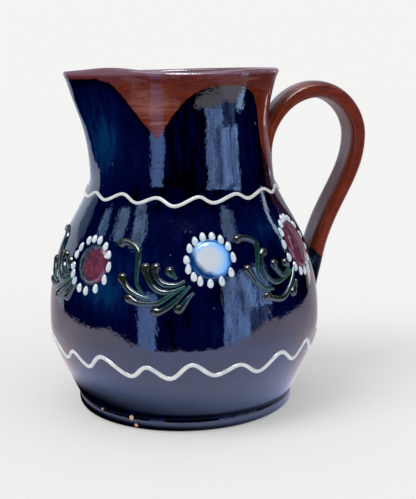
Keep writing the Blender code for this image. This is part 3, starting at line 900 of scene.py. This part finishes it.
class Graph:
    """A material's nodes, with short ways to add and join them."""

    def __init__(self, name):
        self.material = bpy.data.materials.new(name)
        self.material.use_nodes = True
        self.tree = self.material.node_tree
        self.shader = self.tree.nodes["Principled BSDF"]

    def node(self, kind, settings=(), **inputs):
        node = self.tree.nodes.new("ShaderNode" + kind)
        for key, value in dict(settings).items():
            setattr(node, key, value)
        for key, value in inputs.items():
            self.set(node.inputs[key.replace("_", " ")], value)
        return node

    def set(self, socket, value):
        if isinstance(value, bpy.types.NodeSocket):
            self.tree.links.new(value, socket)
        else:
            socket.default_value = value

    def surface(self, **inputs):
        for key, value in inputs.items():
            self.set(self.shader.inputs[key.replace("_", " ")], value)
        return self.material

    def slip(self, colour, roughness, ior, bumps, strength, relief=SLIP_RELIEF):
        """The finished material of a slip, whose surface a noise makes uneven."""
        return self.surface(Base_Color=colour, Roughness=roughness, IOR=ior,
                            Normal=self.bump(bumps, relief, strength))

    def light(self, colour, strength):
        """The finished material of a light."""
        return self.surface(Base_Color=BLACK, Specular_IOR_Level=0.0, Emission_Color=colour,
                            Emission_Strength=strength)

    def place(self):
        return self.node("TexCoord").outputs["Object"]

    def value(self, name):
        return self.node("Attribute", {"attribute_name": name}).outputs["Fac"]

    def noise(self, scale, detail=3.0, roughness=0.5):
        """A noise, with one scale or with one each along X, Y and Z."""
        place = self.place()
        if isinstance(scale, tuple):
            place = self.node("Mapping", Vector=place, Scale=scale).outputs["Vector"]
            scale = 1.0
        return self.node("TexNoise", Vector=place, Scale=scale, Detail=detail,
                         Roughness=roughness).outputs["Fac"]

    def parts(self, vector):
        return self.node("SeparateXYZ", Vector=vector).outputs

    def math(self, operation, a, b=0.0):
        node = self.node("Math", {"operation": operation})
        self.set(node.inputs[0], a)
        self.set(node.inputs[1], b)
        return node.outputs[0]

    def plus(self, a, b):
        return self.math("ADD", a, b)

    def times(self, a, b):
        return self.math("MULTIPLY", a, b)

    def swing(self, value, amount):
        """A noise about 0.5 as one about zero, times an amount."""
        return self.times(self.math("SUBTRACT", value, 0.5), amount)

    def band(self, value, low, high, bottom=0.0, top=1.0):
        return self.node("MapRange", {"interpolation_type": "SMOOTHSTEP"}, Value=value, From_Min=low,
                         From_Max=high, To_Min=bottom, To_Max=top).outputs["Result"]

    def mix(self, share, a, b):
        node = self.node("Mix", {"data_type": "RGBA"})
        for index, value in ((0, share), (6, a), (7, b)):
            self.set(node.inputs[index], value)
        return node.outputs[2]

    def ramp(self, value, stops):
        node = self.node("ValToRGB", Fac=value)
        ramp = node.color_ramp
        ramp.interpolation = "EASE"
        while len(ramp.elements) < len(stops):
            ramp.elements.new(0.5)
        for element, (place, colour) in zip(ramp.elements, stops):
            element.position = place
            element.color = rgb(*colour)
        return node.outputs["Color"]

    def bump(self, height, distance, strength=1.0, under=None):
        node = self.node("Bump", Height=height, Distance=distance, Strength=strength)
        if under:
            self.set(node.inputs["Normal"], under)
        return node.outputs["Normal"]


def rgb(red, green, blue):
    """A colour by its screen values of 0 to 255."""
    shares = [value / 255.0 for value in (red, green, blue)]
    return (*(s / 12.92 if s <= 0.04045 else ((s + 0.055) / 1.055) ** 2.4 for s in shares), 1.0)


def navy_slip(g, edge):
    """Near black navy, bluer in patches and streaks, and dark along the dip's edge."""
    streak = g.noise((260.0, 260.0, 40.0), 5.0, 0.62)
    fine = g.noise((900.0, 900.0, 420.0), 3.0, 0.6)
    patch = g.plus(g.plus(g.value("blue"), g.swing(streak, 1.5)), g.swing(fine, 0.6))
    navy = rgb(*NAVY)
    for low, high, tone in BLUER_TONES:
        navy = g.mix(g.band(patch, low, high), navy, rgb(*tone))
    return g.mix(g.times(g.band(edge, *DIP_SHADOW), 0.85), navy, rgb(0, 0, 8))


def brown_slip(g, level, tones, drag_share):
    """Mottled brown, paler and pinker in patches that are partly a painted reflection, dragged round
    and greyer towards the rim.
    """
    main, warm, pale = (rgb(*tone) for tone in tones)
    drag = g.noise((60.0, 60.0, 620.0), 4.0, 0.6)
    haze = g.plus(g.value("haze"), g.swing(drag, drag_share))
    brown = g.mix(g.band(g.noise(34.0, 4.0, 0.55), 0.38, 0.66), main, warm)
    mottle = g.band(g.noise(260.0, 4.0, 0.7), 0.50, 0.66)
    brown = g.mix(g.times(mottle, 0.45), brown, rgb(62, 18, 14))
    # Paler pink where the haze layer is, partly the glaze's own haze and partly a painted reflection.
    brown = g.mix(g.band(haze, 0.15, 0.85), brown, pale)
    fleck = g.band(g.noise(620.0, 2.0, 0.6), 0.60, 0.74)
    brown = g.mix(g.times(fleck, 0.4), brown, rgb(52, 14, 8))
    near_rim = g.times(g.band(level, *DRAG_ZONE), 0.75)
    brown = g.mix(g.times(g.band(drag, 0.46, 0.56), near_rim), brown, rgb(74, 24, 20))
    return g.mix(g.band(level, *RIM_ZONE, 0.0, 0.6), brown, rgb(92, 44, 50))


def bare_clay(g, level, wander):
    """Where the chips and the underside show the clay."""
    clay = g.band(level, *UNDERSIDE_ZONE)
    for azimuth, height, size in CHIPS:
        side = on_body(PHOTO_AZIMUTH + azimuth, max(height * MM, FOOT_HEIGHT)).translation
        away = g.node("VectorMath", {"operation": "DISTANCE"})
        g.set(away.inputs[0], g.place())
        g.set(away.inputs[1], (side.x, side.y, height * MM))
        reach = g.plus(away.outputs["Value"], wander)
        clay = g.math("MAXIMUM", clay, g.band(reach, size * 1.1 * MM, size * 0.8 * MM))
    return clay


def jug_glaze(name, tones, gloss, drag_share, roughness):
    """Navy glaze with a duller brown dip at the rim and on the handle, a pale highlight painted along
    the lip, chipped at the foot.
    """
    g = Graph(name)
    level = g.parts(g.place())["Z"]
    wander = g.swing(g.noise(420.0, 3.0, 0.6), EDGE_WANDER)
    edge = g.plus(g.value("dip"), wander)
    lip = g.band(level, *LIP_ZONE)
    colour = g.mix(g.band(edge, *DIP_BLUR), navy_slip(g, edge), brown_slip(g, level, tones, drag_share))
    # A pale lavender highlight is painted along the lip.
    colour = g.mix(g.times(lip, 0.40), colour, rgb(160, 132, 152))
    clay = bare_clay(g, level, wander)
    grit = g.noise(1500.0, 3.0, 0.7)
    clay_tone = g.mix(g.band(grit, 0.35, 0.65), rgb(196, 150, 112), rgb(226, 190, 154))
    colour = g.mix(clay, colour, clay_tone)

    groove = g.times(g.band(level, *GROOVE_START), g.band(level, *GROOVE_END))
    shine = g.times(g.band(edge, *GLOSS_BLUR, *gloss), g.math("SUBTRACT", 1.0, g.times(groove, 0.9)))
    for mask, factor in ((g.value("face"), FACE_SHINE), (g.value("dull"), 0.0), (lip, LIP_SHINE)):
        shine = g.times(shine, g.band(mask, 0.0, 1.0, 1.0, factor))
    rough = g.plus(g.times(clay, CLAY_ROUGHNESS), g.times(g.value("face"), FACE_ROUGHNESS))

    relief = g.bump(g.noise((9.0, 9.0, 540.0), 3.0, 0.6), THROWN_RELIEF)
    relief = g.bump(g.noise((190.0, 190.0, 110.0), 2.0, 0.5), RIPPLE_RELIEF, 1.0, relief)
    relief = g.bump(g.noise(640.0, 2.0, 0.5), PEEL_RELIEF, 1.0, relief)
    relief = g.bump(g.band(g.noise(230.0, 1.0, 0.4), 0.185, 0.215), GRAIN_RELIEF, 1.0, relief)
    relief = g.bump(grit, GRAIN_RELIEF, clay, relief)
    return g.surface(Base_Color=colour, Roughness=g.plus(roughness, rough), Specular_IOR_Level=shine,
                     IOR=GLAZE_IOR, Normal=relief)


def cream_glaze():
    """Cream slip under clear glaze, with fine pits and a bluish cast where it is thin."""
    g = Graph("cream_slip")
    cloud = g.noise(260.0, 3.0, 0.6)
    pit = g.band(g.noise(1100.0, 2.0, 0.5), 0.64, 0.74)
    colour = g.mix(g.band(cloud, 0.38, 0.72), rgb(226, 226, 222), rgb(200, 208, 214))
    colour = g.mix(g.times(pit, 0.35), colour, rgb(132, 112, 92))
    return g.slip(colour, 0.10, SLIP_IOR, cloud, 0.5)


def white_glaze():
    """White slip, bluish where it is thin."""
    g = Graph("white_slip")
    cloud = g.noise(300.0, 3.0, 0.6)
    colour = g.mix(g.band(cloud, 0.35, 0.7), rgb(222, 228, 230), rgb(184, 208, 226))
    return g.slip(colour, 0.10, SLIP_IOR, cloud, 0.4)


def disc_reach(g, across, up, wander):
    """Distance on a disc from a spot across and up it, in its radii, with a wandering edge."""
    x = g.math("POWER", g.math("SUBTRACT", g.value("across"), across), 2.0)
    y = g.math("POWER", g.math("SUBTRACT", g.value("up"), up), 2.0)
    return g.plus(g.math("SQRT", g.plus(x, y)), g.swing(g.noise(230.0, 4.0, 0.6), wander))


def blue_glaze():
    """Creamy white that shades to light blue and, at the lower left, to deep blue."""
    g = Graph("blue_slip")
    ring = disc_reach(g, -0.12, 0.02, 0.26)
    colour = g.ramp(g.times(ring, 0.8), BLUE_STOPS)
    low = disc_reach(g, 0.34, 0.38, 0.30)
    colour = g.mix(g.band(low, 1.02, 1.34), colour, rgb(0, 54, 112))
    return g.slip(colour, 0.08, SLIP_IOR, g.noise(240.0), 0.4)


def maroon_glaze(name, across, near, far):
    """Maroon slip off centre on a grey-blue one that shows beyond some reach."""
    g = Graph(name)
    mottle = g.noise(330.0, 4.0, 0.65)
    ring = disc_reach(g, across, -0.02, 0.30)
    red = g.mix(g.band(mottle, 0.40, 0.62), rgb(84, 42, 62), rgb(118, 56, 76))
    red = g.mix(g.times(g.band(mottle, 0.60, 0.70), 0.7), red, rgb(144, 26, 42))
    under = g.mix(g.band(mottle, 0.40, 0.60), rgb(24, 36, 58), rgb(58, 74, 88))
    colour = g.mix(g.band(ring, near, far), red, under)
    return g.slip(colour, 0.07, GLAZE_IOR, g.noise(260.0), 0.5, MAROON_RELIEF)


def green_glaze():
    """Glassy green strokes, olive in the bulb and paler teal green at the thin tip."""
    g = Graph("green_slip")
    cloud = g.noise(330.0, 4.0, 0.6)
    colour = g.ramp(g.plus(g.value("along"), g.swing(cloud, 0.35)), GREEN_STOPS)
    return g.slip(colour, 0.05, GLAZE_IOR, cloud, 0.4)


def paper(name, colour, roughness):
    """Faintly speckled paper, with a little light of its own."""
    g = Graph(name)
    speck = g.noise(60.0, 4.0, 0.6)
    shade = g.mix(g.times(speck, 0.04), colour, rgb(200, 200, 200))
    return g.surface(Base_Color=shade, Roughness=roughness, Specular_IOR_Level=0.0,
                     Emission_Color=(*PALE, 1.0), Emission_Strength=PAPER_GLOW)


def glow(name, colour, strength, stripes=0.0):
    """An even light, or one that upright stripes break up."""
    g = Graph(name)
    level = strength
    if stripes:
        band = g.noise((11.0, 11.0, 1.2), 5.0, 0.65)
        level = g.band(band, 0.35, 0.62, strength * (1.0 - stripes), strength)
    return g.light((*colour, 1.0), level)


def sheet_glow():
    """The lit table top as the gloss shows it: pinkish at the left and bluish in front, with the jug's
    shadow painted dark and bluer round the foot.
    """
    g = Graph("sheet_glow")
    turned = g.node("Mapping", Vector=g.place(), Rotation=(0.0, 0.0, -math.radians(STUDIO_AZIMUTH)))
    parts = g.parts(turned.outputs["Vector"])
    x, y = parts["X"], parts["Y"]
    front = g.times(g.times(g.band(x, -0.36, -0.04), g.band(x, 0.34, 0.08)), g.band(y, 0.02, -0.05))
    side = g.math("POWER", g.plus(x, SHEET_SHIFT), 2.0)
    reach = g.math("SQRT", g.plus(side, g.math("POWER", y, 2.0)))
    # Painted shade: dimmer and bluer near the foot in front.
    shade_near_foot = g.times(g.band(reach, FOOT_RADIUS + 0.026, FOOT_RADIUS + 0.008), front)
    colour = g.mix(g.band(x, -0.02, 0.20), SHEET_LEFT, SHEET_RIGHT)
    colour = g.mix(front, colour, SHEET_FRONT)
    colour = g.mix(shade_near_foot, colour, SHEET_SHADE_NEAR_FOOT)
    # The jug's shadow is painted dark close round the foot. The glow is also dimmer farther back.
    lit = g.times(g.band(reach, *SHEET_PAINTED_SHADOW), g.band(y, 0.0, 0.16, 1.0, 0.62))
    return g.light(colour, lit)


def studio_point(x, y, z):
    return STUDIO_TURN @ Vector((x, y, z))


def bearing_point(bearing, elevation, distance):
    """A point by its bearing to the right of the camera's side, its elevation and distance."""
    turn = math.radians(bearing)
    rise = math.radians(elevation)
    flat = distance * math.cos(rise)
    return studio_point(flat * math.sin(turn), -flat * math.cos(turn), distance * math.sin(rise))


def hide_from(thing, *rays):
    for ray in rays:
        setattr(thing, f"visible_{ray}", False)


def only_gloss(thing):
    hide_from(thing, "camera", "diffuse", "shadow", "transmission")


def plane(name, corners, height, material):
    """A flat piece of the studio by its corners across and away from the camera."""
    form = bmesh.new()
    form.faces.new([form.verts.new(studio_point(x, y, height)) for x, y in corners])
    thing = add_object(name, form, material)
    return thing


def spread(ends):
    """Even steps of some degrees from one end to the other, with both ends."""
    count = max(round(abs(ends[1] - ends[0]) / CARD_STEP), 1)
    return [ends[0] + (ends[1] - ends[0]) * i / count for i in range(count + 1)]


def make_card(name, bearings, elevations, distance, colour, strength, stripes):
    form = bmesh.new()
    table = []
    for elevation in spread(elevations):
        row = []
        for bearing in spread(bearings):
            place = bearing_point(bearing, elevation, distance)
            place.z += CARD_MIDDLE
            row.append(form.verts.new(place))
        table.append(row)
    join_rows(form, table, False)
    card = add_object(name, form, glow(name, colour, strength, stripes))
    only_gloss(card)


def make_backdrop():
    """A pale ring round the table, which only the camera sees."""
    form = bmesh.new()
    turns = [2.0 * math.pi * i / BACKDROP_STEPS for i in range(BACKDROP_STEPS)]
    table = []
    for height in (BACKDROP_FOOT, BACKDROP_RADIUS):
        table.append([form.verts.new(around(turn, BACKDROP_RADIUS, height)) for turn in turns])
    join_rows(form, table, True)
    ring = add_object("backdrop", form, glow("backdrop_glow", PALE, 1.0))
    hide_from(ring, "glossy", "diffuse", "shadow")


def add_sun(name, bearing, elevation, strength, width):
    """Soft even light from a bearing and an elevation."""
    data = bpy.data.lights.new(name, "SUN")
    data.energy = strength
    data.angle = math.radians(width)
    lamp = link(name, data)
    way = -bearing_point(bearing, elevation, 1.0)
    lamp.matrix_world = way.to_track_quat("-Z", "Y").to_matrix().to_4x4()
    hide_from(lamp, "glossy")


def make_studio():
    floor = plane("floor", GROUND_CORNERS, 0.0, paper("paper", rgb(212, 212, 210), 0.8))
    hide_from(floor, "glossy", "shadow")
    make_backdrop()
    only_gloss(plane("sheet", SHEET_CORNERS, SHEET_HEIGHT, sheet_glow()))
    for card in CARDS:
        make_card(*card)
    for sun in SUNS:
        add_sun(*sun)
    world = bpy.data.worlds.new("room")
    world.use_nodes = True
    background = world.node_tree.nodes["Background"]
    background.inputs["Color"].default_value = ROOM_COLOUR
    background.inputs["Strength"].default_value = ROOM_LIGHT
    world.cycles_visibility.glossy = False
    bpy.context.scene.world = world
    bpy.context.scene.view_settings.view_transform = "Standard"


def make_camera():
    data = bpy.data.cameras.new("camera")
    data.sensor_width = SENSOR_WIDTH
    data.lens = FOCAL_PIXELS / max(PHOTO_SIZE) * data.sensor_width
    camera = link("camera", data)
    ahead = bearing_point(180.0 - CAMERA_YAW, -CAMERA_PITCH, 1.0)
    turn = ahead.to_track_quat("-Z", "Y").to_matrix().to_4x4()
    roll = Matrix.Rotation(math.radians(-CAMERA_ROLL), 4, "Z")
    place = studio_point(0.0, -CAMERA_DISTANCE, CAMERA_HEIGHT)
    camera.matrix_world = Matrix.Translation(place) @ turn @ roll
    bpy.context.scene.camera = camera


def make_jug():
    cream = cream_glaze()
    white = white_glaze()
    green = green_glaze()
    discs = {
        "blue": blue_glaze(),
        "maroon": maroon_glaze("maroon_slip", 0.05, 1.06, 1.20),
        "half_maroon": maroon_glaze("half_maroon_slip", 0.42, 0.74, 1.12),
    }
    body = make_body(jug_glaze("body_glaze", BODY_BROWNS, (0.5, 0.13), 1.7, 0.045))
    make_handle(jug_glaze("handle_glaze", HANDLE_BROWNS, (0.05, 0.033), 0.0, 0.12))
    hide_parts("jug")
    for wave in WAVES:
        make_wave(*wave, cream)
    for label, azimuth, height, colour, *measures in FLOWERS:
        make_flower(label, azimuth, height, *measures, white, discs[colour])
    for sprig in SPRIGS:
        make_sprig(*sprig, green)


make_jug()
make_studio()
make_camera()
